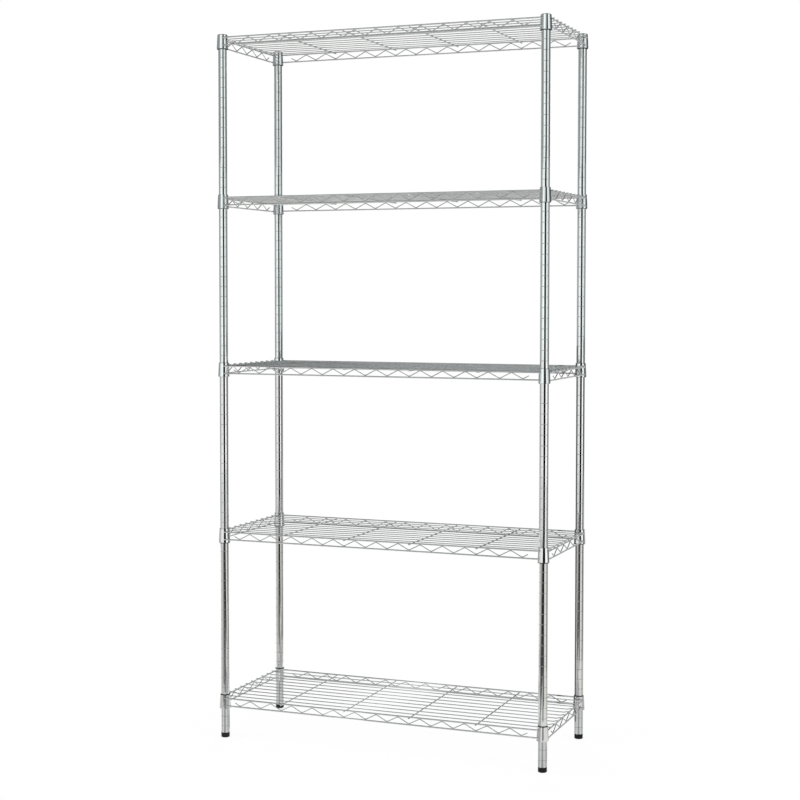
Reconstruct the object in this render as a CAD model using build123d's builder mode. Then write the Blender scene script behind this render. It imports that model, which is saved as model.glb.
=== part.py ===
"""Five-tier chrome wire shelving rack.

Four grooved posts, each screwed together from two tubes, carry five welded wire shelves on tapered
split sleeves. The origin is on the floor under the middle of the rack, X runs along the shelves,
-Y is the front and Z is up. All sizes are in millimetres.
"""

from build123d import *
import math
import os

# ---------------------------------------------------------------- driving sizes

# Posts
post_spacing_x = 861.0  # between post centres, along the shelves
post_spacing_y = 325.5  # between post centres, front to back
post_diameter = 22.0
post_wall = 1.2
groove_pitch = 25.4  # one inch between the locating grooves
groove_radius = 0.8  # the rolling tool's edge
groove_depth = 0.4
first_groove = 17.7  # first groove above the lower end of the post
joint_groove = 35  # the two tubes of a post meet at this groove
post_top_margin = 7.7  # tube above its last groove

# Shelf levels, lowest shelf first
shelf_grooves = (2, 19, 36, 53, 69)  # the groove that each shelf's sleeves snap into
collar_rises = (-1.0, 2.0, 0.5, 1.0, 1.5)  # each shelf's collars above the foot of their sleeves
spare_grooves = 1  # grooves left free above the top shelf's

# Collars and split sleeves
collar_height = 35.5
collar_top_diameter = 26.4
collar_bottom_diameter = 29.8
collar_wall = 1.0
collar_edge_break = 0.3
sleeve_height = 36.5
sleeve_split = 0.6  # slit between the two halves of a sleeve
sleeve_rib_height = 4.0  # locating rib above the foot of the sleeve
sleeve_rib_width = 0.7
sleeve_rib_reach = 0.2  # how far the rib enters the groove
sleeve_reliefs = 2  # shallow bands round the outside of a sleeve
sleeve_relief_width = 1.0
sleeve_relief_depth = 0.15
taper_clearance = 0.25  # between a sleeve and its collar
sleeve_clearance = 0.1  # between a sleeve and its post

# Wires
rim_diameter = 3.6
snake_diameter = 2.5
mat_diameter = 2.5
bar_diameter = 3.0
weld_clearance = 0.05  # between wires that are welded together
rim_offset = 12.5  # rim wires outside the line of post centres
rim_end_setback = 6.0  # rim wires stop short of the post centre by this
rim_top_height = 27.7  # upper long rim wires above the foot of the collars
rim_separation = 19.3  # between the upper and lower rim wires
side_rim_drop = 1.5  # the short rims sit this much lower than the long ones
snake_pitch = 58.6
snake_bend_radius = 8.0
snake_end_room = 40.0  # least room between a post centre and the outermost bend
mat_wires = 10
mat_overhang = 1.2  # wire ends beyond the rim they are welded to
mat_crank_length = 7.0  # run over which a mat wire climbs onto the short rim
mat_crank_radius = 4.0
bar_first_bend = 2  # first cross bar, counted in lower bends of the long snake
bar_bend_step = 3

# Screwed joint halfway up each post
joint_stem_diameter = 10.0
joint_stem_length = 22.0
joint_bush_length = 25.0
thread_clearance = 0.1
press_clearance = 0.05

# Levelling feet and end plugs
foot_height = 13.0
foot_diameter = 22.0
foot_edge_radius = 2.0
foot_stem_diameter = 8.0
foot_stem_length = 28.0
foot_nut_length = 20.0
plug_flange = 1.2
plug_edge_radius = 0.8
plug_depth = 12.0
plug_wall = 2.0

# ---------------------------------------------------------------- worked-out sizes

post_radius = post_diameter / 2
bore_radius = post_radius - post_wall
joint_height = foot_height + first_groove + joint_groove * groove_pitch
last_groove = shelf_grooves[-1] + spare_grooves
post_top = foot_height + first_groove + last_groove * groove_pitch + post_top_margin

rim_radius = rim_diameter / 2
snake_radius = snake_diameter / 2
mat_radius = mat_diameter / 2
bar_radius = bar_diameter / 2
collar_top_radius = collar_top_diameter / 2
collar_bottom_radius = collar_bottom_diameter / 2

corners = {
    "front_left": (-post_spacing_x / 2, -post_spacing_y / 2),
    "front_right": (post_spacing_x / 2, -post_spacing_y / 2),
    "back_left": (-post_spacing_x / 2, post_spacing_y / 2),
    "back_right": (post_spacing_x / 2, post_spacing_y / 2),
}


def groove_height(number):
    """Height of a locating groove above the floor."""
    return foot_height + first_groove + number * groove_pitch


def sleeve_foot(shelf):
    """Height of the foot of a shelf's sleeves."""
    return groove_height(shelf_grooves[shelf]) - sleeve_rib_height


def collar_foot(shelf):
    """Height of the foot of a shelf's collars."""
    return sleeve_foot(shelf) + collar_rises[shelf]


def upright_plane(x, y):
    """Plane through a post's axis: its X points away from the axis and its Y points up."""
    return Plane((x, y, 0), x_dir=(1, 0, 0), z_dir=(0, -1, 0))


def post_axis(x, y):
    """Axis of the post that stands at x, y."""
    return Axis((x, y, 0), (0, 0, 1))


def finish(part, name):
    """Label a finished sub-part and write its STEP file."""
    part.label = name
    export_step(part, f"parts/{name}.step")


# ---------------------------------------------------------------- posts


def post_tube(name, x, y, bottom, top):
    """One grooved tube, half of a post."""
    grooves = [groove_height(n) for n in range(last_groove + 1)]
    cut_heights = [z for z in grooves if bottom + groove_radius < z < top - groove_radius]
    with BuildPart() as tube:
        with BuildSketch(upright_plane(x, y)):
            with Locations((bore_radius, bottom)):
                Rectangle(post_wall, top - bottom, align=(Align.MIN, Align.MIN))
            with Locations([(post_radius + groove_radius - groove_depth, z) for z in cut_heights]):
                Circle(groove_radius, mode=Mode.SUBTRACT)
        revolve(axis=post_axis(x, y))
    finish(tube.part, name)


def joint_stud(name, x, y):
    """Steel bush pressed into the lower tube, with the threaded stem that stands out of it."""
    with BuildPart() as stud:
        with Locations((x, y, joint_height)):
            Cylinder(
                bore_radius - press_clearance, joint_bush_length, align=(Align.CENTER, Align.CENTER, Align.MAX)
            )
            Cylinder(
                joint_stem_diameter / 2, joint_stem_length, align=(Align.CENTER, Align.CENTER, Align.MIN)
            )
        stem_tip = stud.edges().sort_by(Axis.Z)[-1]
        chamfer(stem_tip, joint_stem_diameter / 10)
    finish(stud.part, name)


def joint_nuts():
    """Threaded bushes pressed into the foot of the upper tubes."""
    with BuildPart() as nuts:
        with Locations([(x, y, joint_height) for x, y in corners.values()]):
            Cylinder(
                bore_radius - press_clearance, joint_bush_length, align=(Align.CENTER, Align.CENTER, Align.MIN)
            )
            Cylinder(
                joint_stem_diameter / 2 + thread_clearance,
                joint_bush_length,
                align=(Align.CENTER, Align.CENTER, Align.MIN),
                mode=Mode.SUBTRACT,
            )
    finish(nuts.part, "joint_nuts")


def top_plugs():
    """Hollow caps that close the tops of the posts."""
    with BuildPart() as plugs:
        with Locations([(x, y, post_top) for x, y in corners.values()]):
            Cylinder(post_radius, plug_flange, align=(Align.CENTER, Align.CENTER, Align.MIN))
            Cylinder(
                bore_radius - press_clearance, plug_depth, align=(Align.CENTER, Align.CENTER, Align.MAX)
            )
            Cylinder(
                bore_radius - press_clearance - plug_wall,
                plug_depth,
                align=(Align.CENTER, Align.CENTER, Align.MAX),
                mode=Mode.SUBTRACT,
            )
        crown_edges = plugs.edges().filter_by(GeomType.CIRCLE).group_by(Axis.Z)[-1]
        fillet(crown_edges, plug_edge_radius)
    finish(plugs.part, "post_top_plugs")


def foot_nuts():
    """Plastic inserts pressed into the foot of the posts, which carry the levelling feet."""
    with BuildPart() as nuts:
        with Locations([(x, y, foot_height) for x, y in corners.values()]):
            Cylinder(
                bore_radius - press_clearance, foot_nut_length, align=(Align.CENTER, Align.CENTER, Align.MIN)
            )
            Cylinder(
                foot_stem_diameter / 2 + thread_clearance,
                foot_nut_length,
                align=(Align.CENTER, Align.CENTER, Align.MIN),
                mode=Mode.SUBTRACT,
            )
    finish(nuts.part, "foot_nuts")


def levelling_foot(name, x, y):
    """Round foot with its threaded stem."""
    with BuildPart() as foot:
        with Locations((x, y, 0)):
            Cylinder(foot_diameter / 2, foot_height, align=(Align.CENTER, Align.CENTER, Align.MIN))
        sole_edge = foot.edges().group_by(Axis.Z)[0]
        fillet(sole_edge, foot_edge_radius)
        with Locations((x, y, foot_height)):
            Cylinder(
                foot_stem_diameter / 2, foot_stem_length, align=(Align.CENTER, Align.CENTER, Align.MIN)
            )
    finish(foot.part, name)


# ---------------------------------------------------------------- split sleeves and collars


def shelf_sleeves(shelf):
    """Four tapered sleeves in two halves each, snapped round the posts under one shelf's collars."""
    foot = sleeve_foot(shelf)
    taper = (collar_bottom_radius - collar_top_radius) / collar_height
    foot_radius = collar_bottom_radius - collar_wall - taper_clearance
    inside = post_radius + sleeve_clearance
    rib_tip = post_radius - sleeve_rib_reach
    relief_gap = sleeve_height / (sleeve_reliefs + 1)
    relief_heights = [(n + 1) * relief_gap for n in range(sleeve_reliefs)]
    with BuildPart() as sleeves:
        for x, y in corners.values():
            with BuildSketch(upright_plane(x, y)):
                with BuildLine():
                    Polyline(
                        (inside, foot),
                        (foot_radius, foot),
                        (foot_radius - taper * sleeve_height, foot + sleeve_height),
                        (inside, foot + sleeve_height),
                        close=True,
                    )
                make_face()
                with Locations((rib_tip, foot + sleeve_rib_height)):
                    Rectangle(
                        inside - rib_tip + sleeve_clearance,
                        sleeve_rib_width,
                        align=(Align.MIN, Align.CENTER),
                    )
                with Locations(
                    [(foot_radius - taper * h - sleeve_relief_depth, foot + h) for h in relief_heights]
                ):
                    Rectangle(
                        collar_wall,
                        sleeve_relief_width,
                        align=(Align.MIN, Align.CENTER),
                        mode=Mode.SUBTRACT,
                    )
            revolve(axis=post_axis(x, y))
        with Locations([(x, y, foot) for x, y in corners.values()]):
            Box(
                collar_bottom_diameter,
                sleeve_split,
                sleeve_height,
                align=(Align.CENTER, Align.CENTER, Align.MIN),
                mode=Mode.SUBTRACT,
            )
    finish(sleeves.part, f"shelf_{shelf + 1}_sleeves")


def shelf_collars(shelf):
    """Four tapered corner tubes of one shelf."""
    with BuildPart() as collars:
        with Locations([(x, y, collar_foot(shelf)) for x, y in corners.values()]):
            Cone(
                collar_bottom_radius,
                collar_top_radius,
                collar_height,
                align=(Align.CENTER, Align.CENTER, Align.MIN),
            )
        chamfer(collars.edges().filter_by(GeomType.CIRCLE), collar_edge_break)
        with Locations([(x, y, collar_foot(shelf)) for x, y in corners.values()]):
            Cone(
                collar_bottom_radius - collar_wall,
                collar_top_radius - collar_wall,
                collar_height,
                align=(Align.CENTER, Align.CENTER, Align.MIN),
                mode=Mode.SUBTRACT,
            )
    finish(collars.part, f"shelf_{shelf + 1}_collars")


# ---------------------------------------------------------------- shelf wires


def snake_periods(post_spacing):
    """Whole bends of the snake wire that fit between two posts."""
    return math.floor((post_spacing - 2 * snake_end_room) / snake_pitch)


def lower_bends(post_spacing):
    """Places of the snake wire's lower bends along its truss, about the middle."""
    periods = snake_periods(post_spacing)
    return [(n - periods / 2) * snake_pitch for n in range(periods + 1)]


def snake_outline(post_spacing, lower_rim, upper_rim):
    """Corner points of the snake wire, which zigzags between two rim wires and touches both."""
    reach = rim_radius + snake_radius + weld_clearance
    half_pitch = snake_pitch / 2
    rise = upper_rim - lower_rim - 2 * reach
    centre_rise = rise - 2 * snake_bend_radius
    centre_distance = math.hypot(half_pitch, centre_rise)
    slope = math.atan2(centre_rise, half_pitch) + math.asin(2 * snake_bend_radius / centre_distance)
    overshoot = snake_bend_radius * (1 / math.cos(slope) - 1)
    low = lower_rim + reach - overshoot
    high = upper_rim - reach + overshoot
    bends = lower_bends(post_spacing)
    stub_run = half_pitch / 2
    stub_height = low + stub_run * math.tan(slope)
    points = [(bends[0] - stub_run, stub_height)]
    for bend in bends:
        points.append((bend, low))
        points.append((bend + half_pitch, high))
    points[-1] = (bends[-1] + stub_run, stub_height)
    return points


def truss(name, side_plane, post_spacing, foot, drop):
    """One side of a shelf: two straight rim wires with a snake wire between them."""
    upper_rim = foot + rim_top_height - drop
    lower_rim = upper_rim - rim_separation
    run = post_spacing / 2 - rim_end_setback
    with BuildPart() as side:
        for height in (lower_rim, upper_rim):
            middle = side_plane.from_local_coords((0, height))
            with BuildSketch(Plane(middle, z_dir=side_plane.x_dir)):
                Circle(rim_radius)
            extrude(amount=run, both=True)
        with BuildLine(side_plane) as snake:
            FilletPolyline(*snake_outline(post_spacing, lower_rim, upper_rim), radius=snake_bend_radius)
        with BuildSketch(Plane(snake.line @ 0, z_dir=snake.line % 0)):
            Circle(snake_radius)
        sweep(path=snake.line)
        with Locations([(x, y, foot) for x, y in corners.values()]):
            Cone(
                collar_bottom_radius + weld_clearance,
                collar_top_radius + weld_clearance,
                collar_height,
                align=(Align.CENTER, Align.CENTER, Align.MIN),
                mode=Mode.SUBTRACT,
            )
    finish(side.part, name)


def long_truss(name, shelf, y):
    """Front or back truss, in the plane at y."""
    side_plane = Plane((0, y, 0), x_dir=(1, 0, 0), z_dir=(0, -1, 0))
    truss(name, side_plane, post_spacing_x, collar_foot(shelf), 0.0)


def short_truss(name, shelf, x):
    """Left or right truss, in the plane at x."""
    side_plane = Plane((x, 0, 0), x_dir=(0, 1, 0), z_dir=(1, 0, 0))
    truss(name, side_plane, post_spacing_y, collar_foot(shelf), side_rim_drop)


def cross_bar_height(shelf):
    """Height of the cross bars, which hang under the long upper rims."""
    return collar_foot(shelf) + rim_top_height - rim_radius - bar_radius - weld_clearance


def cross_bars(shelf):
    """Bars from front to back that carry the mat, each at a lower bend of the long trusses."""
    run = post_spacing_y / 2 + rim_offset + rim_radius + mat_overhang
    with BuildPart() as bars:
        for bend in lower_bends(post_spacing_x)[bar_first_bend::bar_bend_step]:
            with BuildSketch(Plane((bend, 0, cross_bar_height(shelf)), z_dir=(0, 1, 0))):
                Circle(bar_radius)
        extrude(amount=run, both=True)
    finish(bars.part, f"shelf_{shelf + 1}_cross_bars")


def mat(shelf):
    """Lengthwise wires laid on the cross bars, with ends cranked up onto the short rims."""
    run_height = cross_bar_height(shelf) + bar_radius + mat_radius + weld_clearance
    side_rim = collar_foot(shelf) + rim_top_height - side_rim_drop
    end_height = side_rim + rim_radius + mat_radius + weld_clearance
    rim_x = post_spacing_x / 2 + rim_offset
    end_x = rim_x + rim_radius + mat_overhang
    crank_end = rim_x - rim_radius - mat_radius
    crank_start = crank_end - mat_crank_length
    gap = (post_spacing_y + 2 * rim_offset) / (mat_wires + 1)
    with BuildPart() as wires:
        for n in range(mat_wires):
            y = (n - (mat_wires - 1) / 2) * gap
            with BuildLine(Plane((0, y, 0), x_dir=(1, 0, 0), z_dir=(0, -1, 0))) as wire:
                FilletPolyline(
                    (-end_x, end_height),
                    (-crank_end, end_height),
                    (-crank_start, run_height),
                    (crank_start, run_height),
                    (crank_end, end_height),
                    (end_x, end_height),
                    radius=mat_crank_radius,
                )
            with BuildSketch(Plane(wire.line @ 0, z_dir=wire.line % 0)):
                Circle(mat_radius)
            sweep(path=wire.line)
    finish(wires.part, f"shelf_{shelf + 1}_mat_wires")


# ---------------------------------------------------------------- the rack

os.makedirs("parts", exist_ok=True)

for corner, (corner_x, corner_y) in corners.items():
    post_tube(f"{corner}_lower_post", corner_x, corner_y, foot_height, joint_height)
    post_tube(f"{corner}_upper_post", corner_x, corner_y, joint_height, post_top)
    joint_stud(f"{corner}_joint_stud", corner_x, corner_y)
    levelling_foot(f"{corner}_foot", corner_x, corner_y)

joint_nuts()
foot_nuts()
top_plugs()

rim_x = post_spacing_x / 2 + rim_offset
rim_y = post_spacing_y / 2 + rim_offset

for level in range(len(shelf_grooves)):
    shelf_name = f"shelf_{level + 1}"
    long_truss(f"{shelf_name}_front_truss", level, -rim_y)
    long_truss(f"{shelf_name}_back_truss", level, rim_y)
    short_truss(f"{shelf_name}_left_truss", level, -rim_x)
    short_truss(f"{shelf_name}_right_truss", level, rim_x)
    cross_bars(level)
    mat(level)
    shelf_collars(level)
    shelf_sleeves(level)
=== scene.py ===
"""Chrome wire shelving rack: finishes, weld beads, foot threads and a plain studio around the CAD frame."""

import math

import bpy
from mathutils import Matrix, Vector


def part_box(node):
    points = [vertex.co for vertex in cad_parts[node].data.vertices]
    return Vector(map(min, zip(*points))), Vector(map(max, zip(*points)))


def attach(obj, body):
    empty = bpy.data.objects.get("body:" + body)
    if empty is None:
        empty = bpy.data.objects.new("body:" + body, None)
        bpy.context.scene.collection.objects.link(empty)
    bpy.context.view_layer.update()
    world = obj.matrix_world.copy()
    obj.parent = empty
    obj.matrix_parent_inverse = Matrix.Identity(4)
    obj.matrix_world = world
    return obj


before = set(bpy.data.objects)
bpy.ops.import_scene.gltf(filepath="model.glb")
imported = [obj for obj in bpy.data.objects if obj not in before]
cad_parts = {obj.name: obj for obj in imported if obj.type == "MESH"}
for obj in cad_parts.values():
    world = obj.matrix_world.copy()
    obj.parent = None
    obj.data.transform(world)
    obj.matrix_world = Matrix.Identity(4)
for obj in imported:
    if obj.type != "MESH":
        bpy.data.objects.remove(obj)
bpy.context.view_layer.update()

bl_info = {
    "name": "Wire Shelving Rack",
    "version": (1, 0, 0),
    "blender": (4, 5, 0),
    "location": "View3D > Sidebar > Rack",
    "description": "Finishes, weld beads, foot threads and studio for a five-shelf chrome wire rack",
    "category": "Object",
}

SHELVES = (1, 2, 3, 4, 5)
CORNERS = ("front_left", "front_right", "back_left", "back_right")
LONG_SIDES = ("front", "back")
SHORT_SIDES = ("left", "right")
MILLIMETRE = 0.001
MAT_WIRE_RADIUS = 1.25 * MILLIMETRE
COLLAR_RADIUS = 14.9 * MILLIMETRE  # at the foot of a collar, where it is widest
WHITE = (1.0, 1.0, 1.0, 1.0)


# ------------------------------------------------------------------ settings


class RackWeldSettings(bpy.types.PropertyGroup):
    """Sizes of the weld beads and where the wires meet."""

    rim_radius: bpy.props.FloatProperty(
        name="Rim wire radius", description="Radius of the rim wires", default=0.0018, unit="LENGTH"
    )
    snake_pitch: bpy.props.FloatProperty(
        name="Snake pitch",
        description="Distance between like bends of the snake wire",
        default=0.0586,
        unit="LENGTH",
    )
    long_bends: bpy.props.IntProperty(
        name="Long side bends", description="Lower bends of a long snake wire", default=14, min=2
    )
    short_bends: bpy.props.IntProperty(
        name="Short side bends", description="Lower bends of a short snake wire", default=5, min=2
    )
    first_bar: bpy.props.IntProperty(
        name="First cross bar", description="Lower bend that carries the first cross bar", default=2, min=0
    )
    bar_step: bpy.props.IntProperty(
        name="Cross bar step", description="Lower bends from one cross bar to the next", default=3, min=1
    )
    mat_wires: bpy.props.IntProperty(
        name="Mat wires",
        description="Lengthwise wires of a mat",
        default=10,
        min=2,
    )
    collar_reach: bpy.props.FloatProperty(
        name="Collar reach",
        description="From a post's axis to where a rim wire meets the collar",
        default=0.0066,
        unit="LENGTH",
    )
    variation: bpy.props.FloatProperty(
        name="Bead variation", description="How much the beads differ in size", default=0.22, subtype="FACTOR"
    )
    seed: bpy.props.IntProperty(name="Seed", description="Choice of the bead sizes", default=7)


class RackThreadSettings(bpy.types.PropertyGroup):
    """Sizes of the thread on the levelling feet."""

    pitch: bpy.props.FloatProperty(
        name="Thread pitch", description="Rise of the thread in one turn", default=0.00125, unit="LENGTH"
    )
    stem_radius: bpy.props.FloatProperty(
        name="Stem radius", description="Radius of a foot's threaded stem", default=0.004, unit="LENGTH"
    )
    ridge_radius: bpy.props.FloatProperty(
        name="Ridge radius", description="Radius of the thread's ridge", default=0.0003, unit="LENGTH"
    )
    ridge_reach: bpy.props.FloatProperty(
        name="Ridge reach",
        description="How far the ridge stands out of the stem",
        default=0.00008,
        unit="LENGTH",
    )


class RackFinishSettings(bpy.types.PropertyGroup):
    """Colours of the rack's finishes."""

    post_chrome: bpy.props.FloatVectorProperty(
        name="Post chrome", description="Plated post tubes", default=(0.86, 0.87, 0.87), subtype="COLOR"
    )
    wire_chrome: bpy.props.FloatVectorProperty(
        name="Wire chrome", description="Plated shelf wires", default=(0.80, 0.805, 0.81), subtype="COLOR"
    )
    collar_chrome: bpy.props.FloatVectorProperty(
        name="Collar chrome",
        description="Plated corner collars",
        default=(0.86, 0.865, 0.87),
        subtype="COLOR",
    )
    joint_steel: bpy.props.FloatVectorProperty(
        name="Joint steel",
        description="Turned joint studs and nuts",
        default=(0.55, 0.54, 0.52),
        subtype="COLOR",
    )
    black_plastic: bpy.props.FloatVectorProperty(
        name="Black plastic",
        description="Sleeves, feet and plugs",
        default=(0.007, 0.007, 0.0075),
        subtype="COLOR",
    )
    # painted shade: this colour darkens the grooves for their shade as well as for dull plating and dirt
    groove_grime_and_shade: bpy.props.FloatVectorProperty(
        name="Groove grime and shade",
        description="Dull plating, dirt and painted shade in the grooves",
        default=(0.16, 0.155, 0.145),
        subtype="COLOR",
    )
    groove_pitch: bpy.props.FloatProperty(
        name="Groove pitch", description="Distance between the posts' grooves", default=0.0254, unit="LENGTH"
    )
    first_groove: bpy.props.FloatProperty(
        name="First groove",
        description="Height of the lowest groove above the floor",
        default=0.0307,
        unit="LENGTH",
    )


class RackStudioSettings(bpy.types.PropertyGroup):
    """Light, camera and surroundings."""

    ambient: bpy.props.FloatProperty(
        name="Ambient", description="Soft light from all round", default=0.62, min=0.0
    )
    lamp_power: bpy.props.FloatProperty(
        name="Lamp power",
        description="Power of a soft lamp at full share",
        default=95.0,
        min=0.0,
        unit="POWER",
    )
    camera_place: bpy.props.FloatVectorProperty(
        name="Camera place",
        description="Where the camera stands",
        default=(1.5663, -3.9637, 1.1600),
        subtype="TRANSLATION",
    )
    camera_turn: bpy.props.FloatProperty(
        name="Camera turn",
        description="Turn of the view towards the left",
        default=math.radians(21.631),
        subtype="ANGLE",
    )
    camera_dip: bpy.props.FloatProperty(
        name="Camera dip",
        description="Tilt of the view downwards",
        default=math.radians(2.770),
        subtype="ANGLE",
    )
    camera_roll: bpy.props.FloatProperty(
        name="Camera roll", description="Roll of the camera", default=math.radians(0.037), subtype="ANGLE"
    )
    lens: bpy.props.FloatProperty(
        name="Lens",
        description="Focal length in millimetres",
        default=74.431,
        min=1.0,
    )
    camera_shift: bpy.props.FloatProperty(
        name="Camera shift", description="Upward shift of the frame", default=-0.035
    )


# ------------------------------------------------------------------ node helpers


# numbers of the sockets that share their names with others
MIX_FACTOR, MIX_FIRST, MIX_SECOND, MIX_RESULT = 0, 6, 7, 2
RANDOM_LEAST, RANDOM_MOST, RANDOM_SEED, RANDOM_RESULT = 2, 3, 8, 1
NOISE_ROUGHNESS = 0.6


def linked(tree, kind, inputs=(), **settings):
    """Add a node, set its properties, and fill or link its inputs, given as (name or number, value)."""
    node = tree.nodes.new(kind)
    for name, value in settings.items():
        setattr(node, name, value)
    for key, value in inputs:
        socket = node.inputs[key]
        if isinstance(value, bpy.types.NodeSocket):
            tree.links.new(value, socket)
        else:
            socket.default_value = value
    return node


def object_pattern(tree, scale, detail, stretch=(1.0, 1.0, 1.0)):
    """Noise fixed to the object, stretched along its axes, as a factor from 0 to 1."""
    place = linked(tree, "ShaderNodeTexCoord").outputs["Object"]
    mapping = linked(tree, "ShaderNodeMapping", [("Vector", place), ("Scale", stretch)])
    noise = linked(
        tree,
        "ShaderNodeTexNoise",
        [
            ("Vector", mapping.outputs["Vector"]),
            ("Scale", scale),
            ("Detail", detail),
            ("Roughness", NOISE_ROUGHNESS),
        ],
    )
    return noise.outputs["Fac"]


def ranged(tree, value, low, high, from_low=0.3, from_high=0.7):
    """A value between from_low and from_high taken to the range from low to high."""
    node = linked(
        tree,
        "ShaderNodeMapRange",
        [
            ("Value", value),
            ("From Min", from_low),
            ("From Max", from_high),
            ("To Min", low),
            ("To Max", high),
        ],
    )
    return node.outputs["Result"]


def blended(tree, factor, first, second):
    """Mix of two colours."""
    inputs = [(MIX_FACTOR, factor), (MIX_FIRST, first), (MIX_SECOND, second)]
    return linked(tree, "ShaderNodeMix", inputs, data_type="RGBA").outputs[MIX_RESULT]


def calculated(tree, operation, first, second=0.0):
    """One step of arithmetic on two numbers."""
    return linked(tree, "ShaderNodeMath", [(0, first), (1, second)], operation=operation).outputs[0]


def rgba(colour, gain=1.0):
    """A colour with its alpha, made lighter or darker."""
    return (colour[0] * gain, colour[1] * gain, colour[2] * gain, 1.0)


def new_material(name):
    """An empty node material with its shader and output."""
    material = bpy.data.materials.new(name)
    material.use_nodes = True
    tree = material.node_tree
    tree.nodes.clear()
    shader = linked(tree, "ShaderNodeBsdfPrincipled")
    output = linked(tree, "ShaderNodeOutputMaterial")
    tree.links.new(shader.outputs["BSDF"], output.inputs["Surface"])
    return material, tree, shader


def bumped(tree, shader, height, strength, distance):
    """Feed a height into the shader's normal."""
    inputs = [("Height", height), ("Strength", strength), ("Distance", distance)]
    bump = linked(tree, "ShaderNodeBump", inputs)
    tree.links.new(bump.outputs["Normal"], shader.inputs["Normal"])


# ------------------------------------------------------------------ finishes


# Patterns are (scale, detail), with a stretch where they run along or round a piece. A range is the part of a
# pattern's noise over which its mark grows from nothing to full. A bump is (strength, depth).

CLOUD_PATTERN = (14.0, 3.0)
CLOUD_GAINS = (0.93, 1.04)  # darkest and lightest tint of the plating
SPECK_PATTERN = (620.0, 2.0)
SPECK_RANGE = (0.66, 0.74)
SPECK_SHARE = 0.45
SPECK_ROUGHNESS = 0.12  # roughness that a speck adds
GLOSS_PATTERN = (46.0, 5.0)
POLISH_PATTERN = (260.0, 3.0, (1.0, 1.0, 0.04))
POLISH_BUMP = (0.03, 0.00015)
GROOVE_RANGE = (0.014, 0.030)  # core and edge of a groove, as shares of the groove pitch
# how far the grooves are darkened towards the groove colour, partly dirt and partly painted shade
GRIME_AND_SHADE_SHARE = 0.22
GRIME_ROUGHNESS = 0.10  # roughness that a groove adds

DUST_PATTERN = (38.0, 6.0)
DUST_RANGE = (0.45, 0.8)
DUST_GAIN = 2.6  # how much lighter dusty plastic is
RUBBED_PATTERN = (190.0, 3.0, (1.0, 1.0, 0.3))
RUBBED_RANGE = (0.6, 0.7)
RUBBED_SHARE = 0.3
RUBBED_GAIN = 4.0  # how much lighter a rubbed spot is
GRAIN_DETAIL = 2.0
GRAIN_BUMP = (0.25, 0.0001)
PLASTIC_SPECULAR = 0.2

TOOL_PATTERN = (90.0, 4.0, (0.4, 0.4, 22.0))
TOOL_GAINS = (0.8, 1.15)  # darkest and lightest tint of the steel
TOOL_ROUGHNESS = (0.28, 0.46)
TOOL_BUMP = (0.2, 0.0001)
STAIN = (0.30, 0.26, 0.20)
STAIN_PATTERN = (55.0, 5.0)
STAIN_RANGE = (0.55, 0.75)
STAIN_SHARE = 0.5


def groove_mask(tree, finish):
    """1 in the posts' rolled grooves and 0 on the plain tube between them."""
    place = linked(tree, "ShaderNodeTexCoord").outputs["Object"]
    height = linked(tree, "ShaderNodeSeparateXYZ", [(0, place)]).outputs["Z"]
    above_first = calculated(tree, "SUBTRACT", height, finish.first_groove)
    steps = calculated(tree, "DIVIDE", above_first, finish.groove_pitch)
    offset = calculated(tree, "SUBTRACT", steps, calculated(tree, "ROUND", steps))
    return ranged(tree, calculated(tree, "ABSOLUTE", offset), 1.0, 0.0, *GROOVE_RANGE)


def plated(name, colour, dull, roughness, grooves=None):
    """Bright plating: clouded tint, patchy gloss, polishing lines, dull specks, and grooves darkened with
    dirt and painted shade.
    """
    material, tree, shader = new_material(name)
    clouds = ranged(tree, object_pattern(tree, *CLOUD_PATTERN), 0.0, 1.0)
    tint = blended(tree, clouds, *(rgba(colour, gain) for gain in CLOUD_GAINS))
    specks = ranged(tree, object_pattern(tree, *SPECK_PATTERN), 0.0, 1.0, *SPECK_RANGE)
    tint = blended(tree, calculated(tree, "MULTIPLY", specks, SPECK_SHARE), tint, rgba(dull))
    gloss = ranged(tree, object_pattern(tree, *GLOSS_PATTERN), *roughness)
    gloss = calculated(tree, "ADD", gloss, calculated(tree, "MULTIPLY", specks, SPECK_ROUGHNESS))
    if grooves is not None:
        mask = groove_mask(tree, grooves)
        # painted shade: the grooves are darkened towards the groove colour, for dirt and for the shade in
        # them
        grime_and_shade = calculated(tree, "MULTIPLY", mask, GRIME_AND_SHADE_SHARE)
        tint = blended(tree, grime_and_shade, tint, rgba(grooves.groove_grime_and_shade))
        gloss = calculated(tree, "ADD", gloss, calculated(tree, "MULTIPLY", mask, GRIME_ROUGHNESS))
    tree.links.new(tint, shader.inputs["Base Color"])
    tree.links.new(gloss, shader.inputs["Roughness"])
    shader.inputs["Metallic"].default_value = 1.0
    bumped(tree, shader, object_pattern(tree, *POLISH_PATTERN), *POLISH_BUMP)
    return material


def moulded(name, colour, grain, roughness):
    """Moulded black plastic: fine grain, dusty patches and rubbed spots."""
    material, tree, shader = new_material(name)
    dust = ranged(tree, object_pattern(tree, *DUST_PATTERN), 0.0, 1.0, *DUST_RANGE)
    tint = blended(tree, dust, rgba(colour), rgba(colour, DUST_GAIN))
    rubbed = ranged(tree, object_pattern(tree, *RUBBED_PATTERN), 0.0, 1.0, *RUBBED_RANGE)
    tint = blended(tree, calculated(tree, "MULTIPLY", rubbed, RUBBED_SHARE), tint, rgba(colour, RUBBED_GAIN))
    tree.links.new(tint, shader.inputs["Base Color"])
    tree.links.new(ranged(tree, dust, *roughness, 0.0, 1.0), shader.inputs["Roughness"])
    shader.inputs["Specular IOR Level"].default_value = PLASTIC_SPECULAR
    bumped(tree, shader, object_pattern(tree, grain, GRAIN_DETAIL), *GRAIN_BUMP)
    return material


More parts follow.
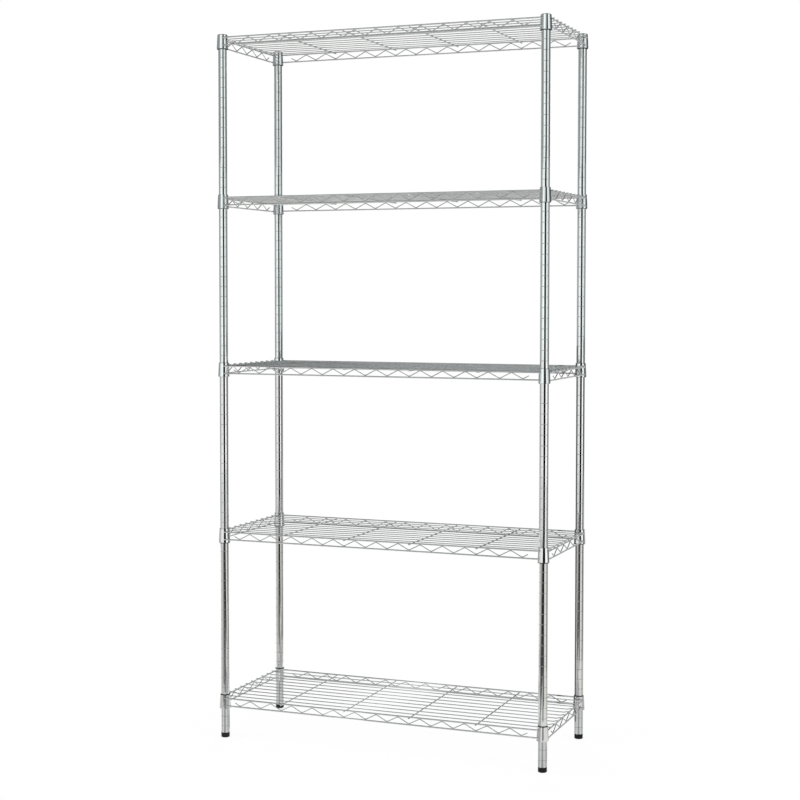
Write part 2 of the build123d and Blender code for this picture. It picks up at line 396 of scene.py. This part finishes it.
def turned_steel(name, colour):
    """Zinc-plated turned steel with tool lines round it."""
    material, tree, shader = new_material(name)
    lines = object_pattern(tree, *TOOL_PATTERN)
    tint = blended(tree, ranged(tree, lines, 0.0, 1.0), *(rgba(colour, gain) for gain in TOOL_GAINS))
    stain = ranged(tree, object_pattern(tree, *STAIN_PATTERN), 0.0, STAIN_SHARE, *STAIN_RANGE)
    tint = blended(tree, stain, tint, rgba(STAIN))
    tree.links.new(tint, shader.inputs["Base Color"])
    tree.links.new(ranged(tree, lines, *TOOL_ROUGHNESS), shader.inputs["Roughness"])
    shader.inputs["Metallic"].default_value = 1.0
    bumped(tree, shader, lines, *TOOL_BUMP)
    return material


def dress(names, material):
    """Give CAD nodes their finish."""
    for name in names:
        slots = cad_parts[name].material_slots
        if not slots:
            raise RuntimeError(f"{name} has no material slot")
        for slot in slots:
            slot.material = material


def shelf_nodes(*endings):
    """Names of the shelves' nodes with these endings."""
    return [f"shelf_{n}_{ending}" for n in SHELVES for ending in endings]


class RACK_OT_posts(bpy.types.Operator):
    """Plate the grooved post tubes"""

    bl_idname = "rack.posts"
    bl_label = "Posts"

    def execute(self, context):
        finish = context.scene.rack_finish
        dull = (0.42, 0.41, 0.39)
        chrome = plated("post_chrome", finish.post_chrome, dull, roughness=(0.03, 0.11), grooves=finish)
        dress([f"{corner}_{half}_post" for corner in CORNERS for half in ("lower", "upper")], chrome)
        return {"FINISHED"}


class RACK_OT_collars(bpy.types.Operator):
    """Plate the tapered corner collars"""

    bl_idname = "rack.collars"
    bl_label = "Collars"

    def execute(self, context):
        finish = context.scene.rack_finish
        dull = (0.45, 0.44, 0.42)
        chrome = plated("collar_chrome", finish.collar_chrome, dull, roughness=(0.03, 0.09))
        dress(shelf_nodes("collars"), chrome)
        return {"FINISHED"}


class RACK_OT_wires(bpy.types.Operator):
    """Plate the trusses, cross bars and mat wires"""

    bl_idname = "rack.wires"
    bl_label = "Wires"

    def execute(self, context):
        finish = context.scene.rack_finish
        dull = (0.33, 0.32, 0.30)
        chrome = plated("wire_chrome", finish.wire_chrome, dull, roughness=(0.10, 0.24))
        trusses = [f"{side}_truss" for side in LONG_SIDES + SHORT_SIDES]
        dress(shelf_nodes("cross_bars", "mat_wires", *trusses), chrome)
        return {"FINISHED"}


class RACK_OT_sleeves(bpy.types.Operator):
    """Mould the split sleeves in black plastic"""

    bl_idname = "rack.sleeves"
    bl_label = "Sleeves"

    def execute(self, context):
        finish = context.scene.rack_finish
        plastic = moulded("sleeve_plastic", finish.black_plastic, grain=1400.0, roughness=(0.42, 0.62))
        dress(shelf_nodes("sleeves"), plastic)
        return {"FINISHED"}


class RACK_OT_feet(bpy.types.Operator):
    """Mould the levelling feet and their inserts in black plastic"""

    bl_idname = "rack.feet"
    bl_label = "Feet"

    def execute(self, context):
        finish = context.scene.rack_finish
        plastic = moulded("foot_plastic", finish.black_plastic, grain=900.0, roughness=(0.48, 0.70))
        dress([f"{corner}_foot" for corner in CORNERS] + ["foot_nuts"], plastic)
        return {"FINISHED"}


class RACK_OT_plugs(bpy.types.Operator):
    """Mould the caps in the tops of the posts"""

    bl_idname = "rack.plugs"
    bl_label = "Top plugs"

    def execute(self, context):
        finish = context.scene.rack_finish
        plastic = moulded("plug_plastic", finish.black_plastic, grain=1100.0, roughness=(0.36, 0.55))
        dress(["post_top_plugs"], plastic)
        return {"FINISHED"}


class RACK_OT_joints(bpy.types.Operator):
    """Turn the joint studs and nuts inside the posts"""

    bl_idname = "rack.joints"
    bl_label = "Post joints"

    def execute(self, context):
        finish = context.scene.rack_finish
        steel = turned_steel("joint_steel", finish.joint_steel)
        dress([f"{corner}_joint_stud" for corner in CORNERS] + ["joint_nuts"], steel)
        return {"FINISHED"}


# ------------------------------------------------------------------ geometry nodes


BEAD_SUBDIVISIONS = 2
THREAD_STEPS = 20  # flats in one turn of the thread
RIDGE_SIDES = 6
THREAD_MARGIN_TURNS = 2  # turns left off at each end of a foot's thread

# half lengths of the weld beads along x, y and z, in millimetres
CROSS_BAR_BEAD = (1.35, 1.7, 0.55)  # mat wire on a cross bar
SHORT_RIM_BEAD = (1.5, 1.5, 0.5)  # mat wire on a short rim
LONG_RIM_BEAD = (1.6, 1.6, 0.6)  # cross bar under a long rim
LONG_SNAKE_BEAD = (2.8, 1.15, 0.6)
SHORT_SNAKE_BEAD = (1.15, 2.8, 0.6)
COLLAR_BEAD = (2.3, 2.3, 2.3)


def new_tree(name, inputs):
    """A geometry node tree with named inputs, its input node and the identifier of each input."""
    tree = bpy.data.node_groups.new(name, "GeometryNodeTree")
    tree.is_modifier = True
    face = tree.interface
    face.new_socket(name="Geometry", in_out="INPUT", socket_type="NodeSocketGeometry")
    face.new_socket(name="Geometry", in_out="OUTPUT", socket_type="NodeSocketGeometry")
    keys = {}
    for label, kind in inputs:
        keys[label] = face.new_socket(name=label, in_out="INPUT", socket_type=kind).identifier
    start = linked(tree, "NodeGroupInput")
    return tree, start, keys


def end_tree(tree, geometry, material):
    """Realise the instances, set the material and smooth shading, and send the result out."""
    real = linked(tree, "GeometryNodeRealizeInstances", [("Geometry", geometry)])
    smooth = linked(tree, "GeometryNodeSetShadeSmooth", [("Geometry", real.outputs["Geometry"])])
    painted = linked(
        tree, "GeometryNodeSetMaterial", [("Geometry", smooth.outputs["Geometry"]), ("Material", material)]
    )
    out = linked(tree, "NodeGroupOutput")
    tree.links.new(painted.outputs["Geometry"], out.inputs["Geometry"])


def bead_tree():
    """A weld bead on each point, as large as the point's own size, give or take the variation."""
    tree, start, keys = new_tree(
        "Weld beads",
        [("Variation", "NodeSocketFloat"), ("Seed", "NodeSocketInt"), ("Finish", "NodeSocketMaterial")],
    )
    bead = linked(tree, "GeometryNodeMeshIcoSphere", [("Radius", 1.0), ("Subdivisions", BEAD_SUBDIVISIONS)])
    size = linked(
        tree, "GeometryNodeInputNamedAttribute", [("Name", "bead_size")], data_type="FLOAT_VECTOR"
    ).outputs["Attribute"]
    least = calculated(tree, "SUBTRACT", 1.0, start.outputs["Variation"])
    change = linked(
        tree,
        "FunctionNodeRandomValue",
        [(RANDOM_LEAST, least), (RANDOM_MOST, 1.0), (RANDOM_SEED, start.outputs["Seed"])],
        data_type="FLOAT",
    ).outputs[RANDOM_RESULT]
    scale = linked(tree, "ShaderNodeVectorMath", [(0, size), ("Scale", change)], operation="SCALE").outputs[0]
    placed = linked(
        tree,
        "GeometryNodeInstanceOnPoints",
        [("Points", start.outputs["Geometry"]), ("Instance", bead.outputs["Mesh"]), ("Scale", scale)],
    )
    end_tree(tree, placed.outputs["Instances"], start.outputs["Finish"])
    return tree, keys


def thread_tree():
    """A helical ridge that climbs a stem from the point where the object's mesh has its vertex."""
    tree, start, keys = new_tree(
        "Foot thread",
        [
            ("Radius", "NodeSocketFloat"),
            ("Turns", "NodeSocketFloat"),
            ("Height", "NodeSocketFloat"),
            ("Ridge", "NodeSocketFloat"),
            ("Finish", "NodeSocketMaterial"),
        ],
    )
    spiral = linked(
        tree,
        "GeometryNodeCurveSpiral",
        [
            ("Resolution", THREAD_STEPS),
            ("Rotations", start.outputs["Turns"]),
            ("Start Radius", start.outputs["Radius"]),
            ("End Radius", start.outputs["Radius"]),
            ("Height", start.outputs["Height"]),
        ],
    )
    ring = linked(
        tree,
        "GeometryNodeCurvePrimitiveCircle",
        [("Resolution", RIDGE_SIDES), ("Radius", start.outputs["Ridge"])],
    )
    ridge = linked(
        tree,
        "GeometryNodeCurveToMesh",
        [("Curve", spiral.outputs["Curve"]), ("Profile Curve", ring.outputs["Curve"]), ("Fill Caps", True)],
    )
    placed = linked(
        tree,
        "GeometryNodeInstanceOnPoints",
        [("Points", start.outputs["Geometry"]), ("Instance", ridge.outputs["Mesh"])],
    )
    end_tree(tree, placed.outputs["Instances"], start.outputs["Finish"])
    return tree, keys


def grown(name, points, sizes, tree, values, body):
    """Run a node tree on a set of points, keep the result as a plain mesh, and let it ride on its body."""
    seed_mesh = bpy.data.meshes.new(name + "_points")
    seed_mesh.from_pydata(points, [], [])
    if sizes is not None:
        attribute = seed_mesh.attributes.new("bead_size", "FLOAT_VECTOR", "POINT")
        attribute.data.foreach_set("vector", [number for size in sizes for number in size])
    source = bpy.data.objects.new(name + "_source", seed_mesh)
    bpy.context.scene.collection.objects.link(source)
    modifier = source.modifiers.new("Grow", "NODES")
    modifier.node_group = tree
    for key, value in values:
        modifier[key] = value
    bpy.context.view_layer.update()
    evaluated = source.evaluated_get(bpy.context.evaluated_depsgraph_get())
    mesh = bpy.data.meshes.new_from_object(evaluated)
    source.modifiers.clear()
    bpy.data.objects.remove(source)
    mesh.name = name
    if len(mesh.polygons) == 0:
        raise RuntimeError(f"{name} came out empty")
    piece = bpy.data.objects.new(name, mesh)
    bpy.context.scene.collection.objects.link(piece)
    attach(piece, body)


def spaced(count, pitch):
    """Places in a row about the middle."""
    return [(n - (count - 1) / 2) * pitch for n in range(count)]


def grow_beads(kind, shelf, welds, tree, keys, rows):
    """Grow a shelf's beads of one kind from rows of (points, bead size), plated like the wires."""
    points = [point for places, _ in rows for point in places]
    sizes = [[part * MILLIMETRE for part in size] for places, size in rows for _ in places]
    values = [
        (keys["Variation"], welds.variation),
        (keys["Seed"], welds.seed + shelf),
        (keys["Finish"], bpy.data.materials["wire_chrome"]),
    ]
    grown(f"shelf_{shelf}_{kind}", points, sizes, tree, values, f"shelf_{shelf}")


class RACK_OT_mat_welds(bpy.types.Operator):
    """Weld beads where the mat wires lie on the cross bars and the short rims"""

    bl_idname = "rack.mat_welds"
    bl_label = "Mat welds"

    def execute(self, context):
        welds = context.scene.rack_welds
        tree, keys = bead_tree()
        bars = spaced(welds.long_bends, welds.snake_pitch)[welds.first_bar :: welds.bar_step]
        for shelf in SHELVES:
            mat_low, mat_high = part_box(f"shelf_{shelf}_mat_wires")
            bar_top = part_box(f"shelf_{shelf}_cross_bars")[1].z
            left_low, left_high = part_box(f"shelf_{shelf}_left_truss")
            front_low, front_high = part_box(f"shelf_{shelf}_front_truss")
            span = (mat_high.y - mat_low.y) - 2 * MAT_WIRE_RADIUS
            wires = spaced(welds.mat_wires, span / (welds.mat_wires - 1))
            rim_x = (left_low.x + left_high.x) / 2
            rim_y = (front_low.y + front_high.y) / 2
            on_bars = [(x, y, bar_top) for x in bars for y in wires]
            on_rims = [(side * rim_x, y, left_high.z) for side in (-1, 1) for y in wires]
            under_rims = [(x, side * rim_y, bar_top) for x in bars for side in (-1, 1)]
            rows = [(on_bars, CROSS_BAR_BEAD), (on_rims, SHORT_RIM_BEAD), (under_rims, LONG_RIM_BEAD)]
            grow_beads("mat_welds", shelf, welds, tree, keys, rows)
        return {"FINISHED"}


class RACK_OT_truss_welds(bpy.types.Operator):
    """Weld beads where the snake wires touch their rims"""

    bl_idname = "rack.truss_welds"
    bl_label = "Truss welds"

    def execute(self, context):
        welds = context.scene.rack_welds
        tree, keys = bead_tree()
        pitch = welds.snake_pitch
        long_low, long_high = spaced(welds.long_bends, pitch), spaced(welds.long_bends - 1, pitch)
        short_low, short_high = spaced(welds.short_bends, pitch), spaced(welds.short_bends - 1, pitch)
        for shelf in SHELVES:
            along_x, along_y = [], []
            for side in LONG_SIDES:
                low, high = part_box(f"shelf_{shelf}_{side}_truss")
                y = (low.y + high.y) / 2
                bottom, top = low.z + 2 * welds.rim_radius, high.z - 2 * welds.rim_radius
                along_x += [(x, y, bottom) for x in long_low] + [(x, y, top) for x in long_high]
            for side in SHORT_SIDES:
                low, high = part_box(f"shelf_{shelf}_{side}_truss")
                x = (low.x + high.x) / 2
                bottom, top = low.z + 2 * welds.rim_radius, high.z - 2 * welds.rim_radius
                along_y += [(x, y, bottom) for y in short_low] + [(x, y, top) for y in short_high]
            rows = [(along_x, LONG_SNAKE_BEAD), (along_y, SHORT_SNAKE_BEAD)]
            grow_beads("truss_welds", shelf, welds, tree, keys, rows)
        return {"FINISHED"}


class RACK_OT_collar_welds(bpy.types.Operator):
    """Weld beads where the rim wires end on the collars"""

    bl_idname = "rack.collar_welds"
    bl_label = "Collar welds"

    def execute(self, context):
        welds = context.scene.rack_welds
        tree, keys = bead_tree()
        for shelf in SHELVES:
            points = []
            collar_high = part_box(f"shelf_{shelf}_collars")[1]
            end_x = collar_high.x - COLLAR_RADIUS - welds.collar_reach
            end_y = collar_high.y - COLLAR_RADIUS - welds.collar_reach
            for side in LONG_SIDES:
                low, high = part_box(f"shelf_{shelf}_{side}_truss")
                y = (low.y + high.y) / 2
                for z in (low.z + welds.rim_radius, high.z - welds.rim_radius):
                    points += [(end * end_x, y, z) for end in (-1, 1)]
            for side in SHORT_SIDES:
                low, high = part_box(f"shelf_{shelf}_{side}_truss")
                x = (low.x + high.x) / 2
                for z in (low.z + welds.rim_radius, high.z - welds.rim_radius):
                    points += [(x, end * end_y, z) for end in (-1, 1)]
            grow_beads("collar_welds", shelf, welds, tree, keys, [(points, COLLAR_BEAD)])
        return {"FINISHED"}


class RACK_OT_foot_threads(bpy.types.Operator):
    """Thread on the stems of the levelling feet"""

    bl_idname = "rack.foot_threads"
    bl_label = "Foot threads"

    def execute(self, context):
        thread = context.scene.rack_thread
        tree, keys = thread_tree()
        margin = THREAD_MARGIN_TURNS * thread.pitch
        post_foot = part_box("front_left_lower_post")[0].z
        for corner in CORNERS:
            low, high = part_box(f"{corner}_foot")
            height = high.z - post_foot - 2 * margin
            values = [
                (keys["Radius"], thread.stem_radius + thread.ridge_reach - thread.ridge_radius),
                (keys["Turns"], height / thread.pitch),
                (keys["Height"], height),
                (keys["Ridge"], thread.ridge_radius),
                (keys["Finish"], bpy.data.materials["foot_plastic"]),
            ]
            point = ((low.x + high.x) / 2, (low.y + high.y) / 2, post_foot + margin)
            grown(f"{corner}_foot_thread", [point], None, tree, values, f"{corner}_foot")
        return {"FINISHED"}


# ------------------------------------------------------------------ studio


FLOOR_REACH = 40.0
FLOOR_LEVEL = -0.0006  # just under the feet
FLOOR_GREYS = (0.93, 0.95)
FLOOR_GRAIN = (3.0, 2.0)
FLOOR_ROUGHNESS = 0.9
FLOOR_GLOW = (0.92, 1.0)  # share of plain white in the floor, by the rack and far from it
FLOOR_GLOW_REACH = (1.0, 2.6)  # from the rack's middle to where that share starts to grow and is full

# Cards stand or lie round the rack, glow with a set grey, and show in reflections alone: they paint the
# bright and dark bands that the plating mirrors. Their azimuths are degrees from the studio's front, counted
# towards the right.
STUDIO_AZIMUTH = 21.6  # the studio's front, turned from the rack's own front
CARD_STEP = 8.0  # degrees covered by one flat of a curved card
CARD_FLOOR = 0.003  # height of the cards that lie on the floor
COOL = (0.93, 1.0, 0.99)
NEUTRAL = (1.0, 1.0, 1.0)
WARM = (1.0, 0.985, 0.95)

BACK_BANDS = ((150, 184, 0.62), (184, 200, 0.04), (200, 225, 0.85), (225, 250, 0.30))
CARD_RINGS = (
    # name, tint, near and far edge as (radius, height), bands of (first azimuth, last azimuth, grey)
    (
        "upper",
        COOL,
        (6.4, 1.95),
        (6.4, 4.6),
        (
            (-110, -74, 0.28),
            (-74, -46, 0.46),
            (-46, -12, 1.12),
            (-12, 8, 0.50),
            (8, 34, 0.03),
            (34, 66, 1.00),
            (66, 84, 0.62),
            (84, 132, 0.08),
            (132, 150, 0.50),
            *BACK_BANDS,
        ),
    ),
    (
        "shoulder",
        COOL,
        (6.4, 0.74),
        (6.4, 1.96),
        (
            (-110, -82, 0.36),
            (-82, -52, 0.84),
            (-52, -14, 1.15),
            (-14, 8, 0.05),
            (8, 30, 0.02),
            (30, 62, 1.05),
            (62, 92, 0.62),
            (92, 138, 0.20),
            (138, 150, 0.60),
            *BACK_BANDS,
        ),
    ),
    (
        "middle",
        NEUTRAL,
        (6.5, -0.2),
        (6.5, 0.75),
        (
            (-110, -82, 0.48),
            (-82, -52, 0.86),
            (-52, -15, 0.94),
            (-15, 32, 0.002),
            (32, 62, 1.20),
            (62, 98, 0.82),
            (98, 126, 0.18),
            (126, 150, 0.70),
            *BACK_BANDS,
        ),
    ),
    (
        "far_floor",
        NEUTRAL,
        (3.6, CARD_FLOOR),
        (6.5, CARD_FLOOR),
        (
            (-110, -82, 0.56),
            (-82, -52, 0.74),
            (-52, -14, 0.76),
            (-14, 32, 0.004),
            (32, 62, 0.95),
            (62, 150, 0.50),
            *BACK_BANDS,
        ),
    ),
    (
        "floor",
        WARM,
        (0.75, CARD_FLOOR),
        (3.6, CARD_FLOOR),
        ((-110, -40, 0.56), (-40, 150, 0.50), (150, 250, 1.00)),
    ),
    (
        "near_floor",
        NEUTRAL,
        (0.0, CARD_FLOOR),
        (0.75, CARD_FLOOR),
        ((-110, -40, 0.95), (-40, 150, 0.44), (150, 250, 1.00)),
    ),
    ("ceiling", COOL, (0.0, 5.2), (6.4, 4.6), ((-110, 250, 0.08),)),
)

# reflection-only wedges lying on the floor, with azimuths and radii counted at each post, which paint dark
# and light streaks into the posts' reflections
FLOOR_WEDGES = (
    # first azimuth, last azimuth, near radius, far radius, grey
    (-36, -12, 0.80, 3.6, 0.20),
    (24, 66, 0.80, 3.6, 0.78),
    (-12, 14, 0.46, 1.3, 0.14),
    (-12, 14, 1.3, 2.1, 0.05),
    (-12, 14, 2.1, 3.6, 0.012),
)
WEDGE_LEVEL = 0.006  # height of the first wedge
WEDGE_STEP = 0.001  # rise from one wedge to the next
BACK_POST_ROOM = 0.9  # the back posts' wedges start this far out, clear of the front posts

# reflection-only patch lying in front of each foot, which paints streaks into the posts below the lowest
# shelf:
# its near and far edge as (radius, height), and its bands of (first azimuth, last azimuth, grey)
FOOT_EDGES = ((0.0115, 0.012), (0.29, 0.012))
FOOT_BANDS = ((-110, -60, 0.50), (-60, -31, 0.70), (-31, 14, 0.34), (14, 50, 0.68), (50, 120, 0.50))

# reflection-only upright card beside each back post, which paints a dark streak into it:
# its azimuths, its lower and upper edge as (radius, height), and its grey
BACK_CARD_AZIMUTHS = (66, 98)
BACK_CARD_EDGES = ((0.80, 0.03), (0.80, 1.02))
BACK_CARD_GREY = 0.13

LAMP_AIM = (0.0, 0.0, 0.9)
LAMPS = (
    # name, place, width and height, share of the lamp power
    ("lamp_left", (-3.6, -2.6, 2.6), (2.2, 2.6), 1.0),
    ("lamp_right", (4.2, -1.4, 2.4), (2.0, 2.6), 1.0),
    ("lamp_back", (-0.8, 3.8, 2.8), (2.4, 2.0), 0.6),
)

SENSOR_WIDTH = 36.0  # millimetres
CLIP_START, CLIP_END = 0.05, 100.0


def seen_directly(tree):
    """1 for rays that look at the surroundings: from the camera, or by way of metal or glass."""
    path = linked(tree, "ShaderNodeLightPath")
    mirrored = calculated(tree, "MAXIMUM", path.outputs["Is Glossy Ray"], path.outputs["Is Transmission Ray"])
    return calculated(tree, "MAXIMUM", path.outputs["Is Camera Ray"], mirrored)


def white_world(ambient):
    """A white surrounding that lights the object softly."""
    world = bpy.data.worlds.new("studio_world")
    bpy.context.scene.world = world
    world.use_nodes = True
    tree = world.node_tree
    tree.nodes.clear()
    soft = linked(tree, "ShaderNodeBackground", [("Color", WHITE), ("Strength", ambient)])
    plain = linked(tree, "ShaderNodeBackground", [("Color", WHITE), ("Strength", 1.0)])
    shares = [(0, seen_directly(tree)), (1, soft.outputs[0]), (2, plain.outputs[0])]
    mix = linked(tree, "ShaderNodeMixShader", shares)
    out = linked(tree, "ShaderNodeOutputWorld")
    tree.links.new(mix.outputs[0], out.inputs["Surface"])


def staged(name, vertices, faces, material):
    """A mesh that belongs to the studio and not to the rack."""
    mesh = bpy.data.meshes.new(name)
    mesh.from_pydata(vertices, [], faces)
    mesh.materials.append(material)
    piece = bpy.data.objects.new(name, mesh)
    bpy.context.scene.collection.objects.link(piece)
    return piece


def floor_material():
    """White floor that keeps a faint shadow."""
    material, tree, shader = new_material("studio_floor")
    grain = ranged(tree, object_pattern(tree, *FLOOR_GRAIN), 0.0, 1.0)
    tint = blended(tree, grain, *(rgba(NEUTRAL, grey) for grey in FLOOR_GREYS))
    tree.links.new(tint, shader.inputs["Base Color"])
    shader.inputs["Roughness"].default_value = FLOOR_ROUGHNESS
    shader.inputs["Specular IOR Level"].default_value = 0.0
    glow = linked(tree, "ShaderNodeEmission", [("Color", WHITE), ("Strength", 1.0)])
    place = linked(tree, "ShaderNodeTexCoord").outputs["Object"]
    distance = linked(tree, "ShaderNodeVectorMath", [(0, place)], operation="LENGTH").outputs["Value"]
    whiteness = ranged(tree, distance, *FLOOR_GLOW, *FLOOR_GLOW_REACH)
    share = calculated(tree, "MULTIPLY", seen_directly(tree), whiteness)
    mix = linked(tree, "ShaderNodeMixShader", [(0, share), (1, shader.outputs[0]), (2, glow.outputs[0])])
    tree.links.new(mix.outputs[0], tree.nodes["Material Output"].inputs["Surface"])
    return material


def card_material(name, colour):
    """One even glowing colour, whatever light falls on the card: a painted reflection for the metal."""
    material = bpy.data.materials.new(name)
    material.use_nodes = True
    tree = material.node_tree
    tree.nodes.clear()
    glow = linked(tree, "ShaderNodeEmission", [("Color", colour), ("Strength", 1.0)])
    out = linked(tree, "ShaderNodeOutputMaterial")
    tree.links.new(glow.outputs[0], out.inputs["Surface"])
    return material


def around(centre, azimuth, radius, height):
    """A point at an azimuth round a centre, where 0 is in front and 90 at the right."""
    angle = math.radians(azimuth)
    return (centre[0] + radius * math.sin(angle), centre[1] - radius * math.cos(angle), height)


def card(name, grey, tint, azimuths, near, far, centre=(0.0, 0.0)):
    """A curved card between two edges, each given as (radius, height), which glows and shows in reflections
    alone, as a painted reflection.
    """
    first, last = (STUDIO_AZIMUTH + azimuth for azimuth in azimuths)
    steps = max(2, math.ceil((last - first) / CARD_STEP))
    turns = [first + (last - first) * n / steps for n in range(steps + 1)]
    vertices = [around(centre, turn, *edge) for turn in turns for edge in (near, far)]
    faces = [(2 * n, 2 * n + 2, 2 * n + 3, 2 * n + 1) for n in range(steps)]
    piece = staged(name, vertices, faces, card_material(name, rgba(tint, grey)))
    piece.visible_camera = False
    piece.visible_diffuse = False
    piece.visible_transmission = False
    piece.visible_volume_scatter = False
    piece.visible_shadow = False


def metal_surroundings():
    """Everything that the plating mirrors: bands of glowing grey card round the rack, on the floor and
    overhead, which paint the plating's bright and dark reflections.
    """
    for ring, tint, near, far, bands in CARD_RINGS:
        for number, (first, last, grey) in enumerate(bands):
            card(f"card_{ring}_{number}", grey, tint, (first, last), near, far)
    for corner in CORNERS:
        low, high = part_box(f"{corner}_lower_post")
        centre = ((low.x + high.x) / 2, (low.y + high.y) / 2)
        at_back = corner.startswith("back")
        # painted reflections: wedges, foot patches and side cards centred on each post paint streaks into the
        # posts' chrome
        for number, (first, last, near, far, grey) in enumerate(FLOOR_WEDGES):
            near = max(near, BACK_POST_ROOM) if at_back else near
            level = WEDGE_LEVEL + WEDGE_STEP * number
            card(f"card_{corner}_{number}", grey, WARM, (first, last), (near, level), (far, level), centre)
        for number, (first, last, grey) in enumerate(FOOT_BANDS):
            card(f"card_{corner}_foot_{number}", grey, NEUTRAL, (first, last), *FOOT_EDGES, centre)
        if at_back:
            name = f"card_{corner}_side"
            card(name, BACK_CARD_GREY, NEUTRAL, BACK_CARD_AZIMUTHS, *BACK_CARD_EDGES, centre)


def soft_lamp(name, place, size, power):
    """A large soft lamp that points at the rack."""
    data = bpy.data.lights.new(name, "AREA")
    data.shape = "RECTANGLE"
    data.size, data.size_y = size
    data.energy = power
    lamp = bpy.data.objects.new(name, data)
    bpy.context.scene.collection.objects.link(lamp)
    lamp.location = place
    lamp.rotation_euler = (Vector(LAMP_AIM) - Vector(place)).to_track_quat("-Z", "Y").to_euler()
    lamp.visible_glossy = False


def main_camera(studio):
    """The camera at its place, turned, tilted and rolled."""
    turn, dip, roll = studio.camera_turn, studio.camera_dip, studio.camera_roll
    ahead = Vector((-math.sin(turn) * math.cos(dip), math.cos(turn) * math.cos(dip), -math.sin(dip)))
    level = Vector((math.cos(turn), math.sin(turn), 0.0))
    upright = level.cross(ahead)
    right = math.cos(roll) * level + math.sin(roll) * upright
    up = math.cos(roll) * upright - math.sin(roll) * level
    data = bpy.data.cameras.new("main_camera")
    data.sensor_width = SENSOR_WIDTH
    data.lens = studio.lens
    data.shift_y = studio.camera_shift
    data.clip_start, data.clip_end = CLIP_START, CLIP_END
    camera = bpy.data.objects.new("main_camera", data)
    bpy.context.scene.collection.objects.link(camera)
    turned = Matrix((right, up, -ahead)).transposed().to_4x4()
    camera.matrix_world = Matrix.Translation(Vector(studio.camera_place)) @ turned
    bpy.context.scene.camera = camera


class RACK_OT_studio(bpy.types.Operator):
    """Pale floor, soft light, glowing cards that paint the metal's reflections, and the camera"""

    bl_idname = "rack.studio"
    bl_label = "Studio"

    def execute(self, context):
        studio = context.scene.rack_studio
        context.scene.view_settings.view_transform = "Standard"
        white_world(studio.ambient)
        signs = ((-1, -1), (1, -1), (1, 1), (-1, 1))
        corners = [(x * FLOOR_REACH, y * FLOOR_REACH, FLOOR_LEVEL) for x, y in signs]
        staged("studio_floor", corners, [(0, 1, 2, 3)], floor_material())
        metal_surroundings()
        for name, place, size, share in LAMPS:
            soft_lamp(name, place, size, studio.lamp_power * share)
        main_camera(studio)
        return {"FINISHED"}


# ------------------------------------------------------------------ add-on


class RACK_PT_panel(bpy.types.Panel):
    """The rack's pieces and settings"""

    bl_idname = "RACK_PT_panel"
    bl_label = "Wire shelving rack"
    bl_space_type = "VIEW_3D"
    bl_region_type = "UI"
    bl_category = "Rack"

    def draw(self, context):
        layout = self.layout
        scene = context.scene
        for title, settings in (
            ("Welds", scene.rack_welds),
            ("Foot threads", scene.rack_thread),
            ("Finishes", scene.rack_finish),
            ("Studio", scene.rack_studio),
        ):
            box = layout.box()
            box.label(text=title)
            for name in settings.__annotations__:
                box.prop(settings, name)
        for operator in OPERATORS:
            layout.operator(operator.bl_idname)


SETTINGS = {
    "rack_welds": RackWeldSettings,
    "rack_thread": RackThreadSettings,
    "rack_finish": RackFinishSettings,
    "rack_studio": RackStudioSettings,
}
OPERATORS = (
    RACK_OT_posts,
    RACK_OT_collars,
    RACK_OT_wires,
    RACK_OT_sleeves,
    RACK_OT_feet,
    RACK_OT_plugs,
    RACK_OT_joints,
    RACK_OT_mat_welds,
    RACK_OT_truss_welds,
    RACK_OT_collar_welds,
    RACK_OT_foot_threads,
    RACK_OT_studio,
)


def register():
    for group in SETTINGS.values():
        bpy.utils.register_class(group)
    for name, group in SETTINGS.items():
        setattr(bpy.types.Scene, name, bpy.props.PointerProperty(type=group))
    for operator in OPERATORS:
        bpy.utils.register_class(operator)
    bpy.utils.register_class(RACK_PT_panel)


def unregister():
    bpy.utils.unregister_class(RACK_PT_panel)
    for operator in reversed(OPERATORS):
        bpy.utils.unregister_class(operator)
    for name, group in SETTINGS.items():
        delattr(bpy.types.Scene, name)
        bpy.utils.unregister_class(group)


def main():
    register()
    bpy.ops.rack.posts()
    bpy.ops.rack.collars()
    bpy.ops.rack.wires()
    bpy.ops.rack.sleeves()
    bpy.ops.rack.feet()
    bpy.ops.rack.plugs()
    bpy.ops.rack.joints()
    bpy.ops.rack.mat_welds()
    bpy.ops.rack.truss_welds()
    bpy.ops.rack.collar_welds()
    bpy.ops.rack.foot_threads()
    bpy.ops.rack.studio()


if __name__ == "__main__":
    main()
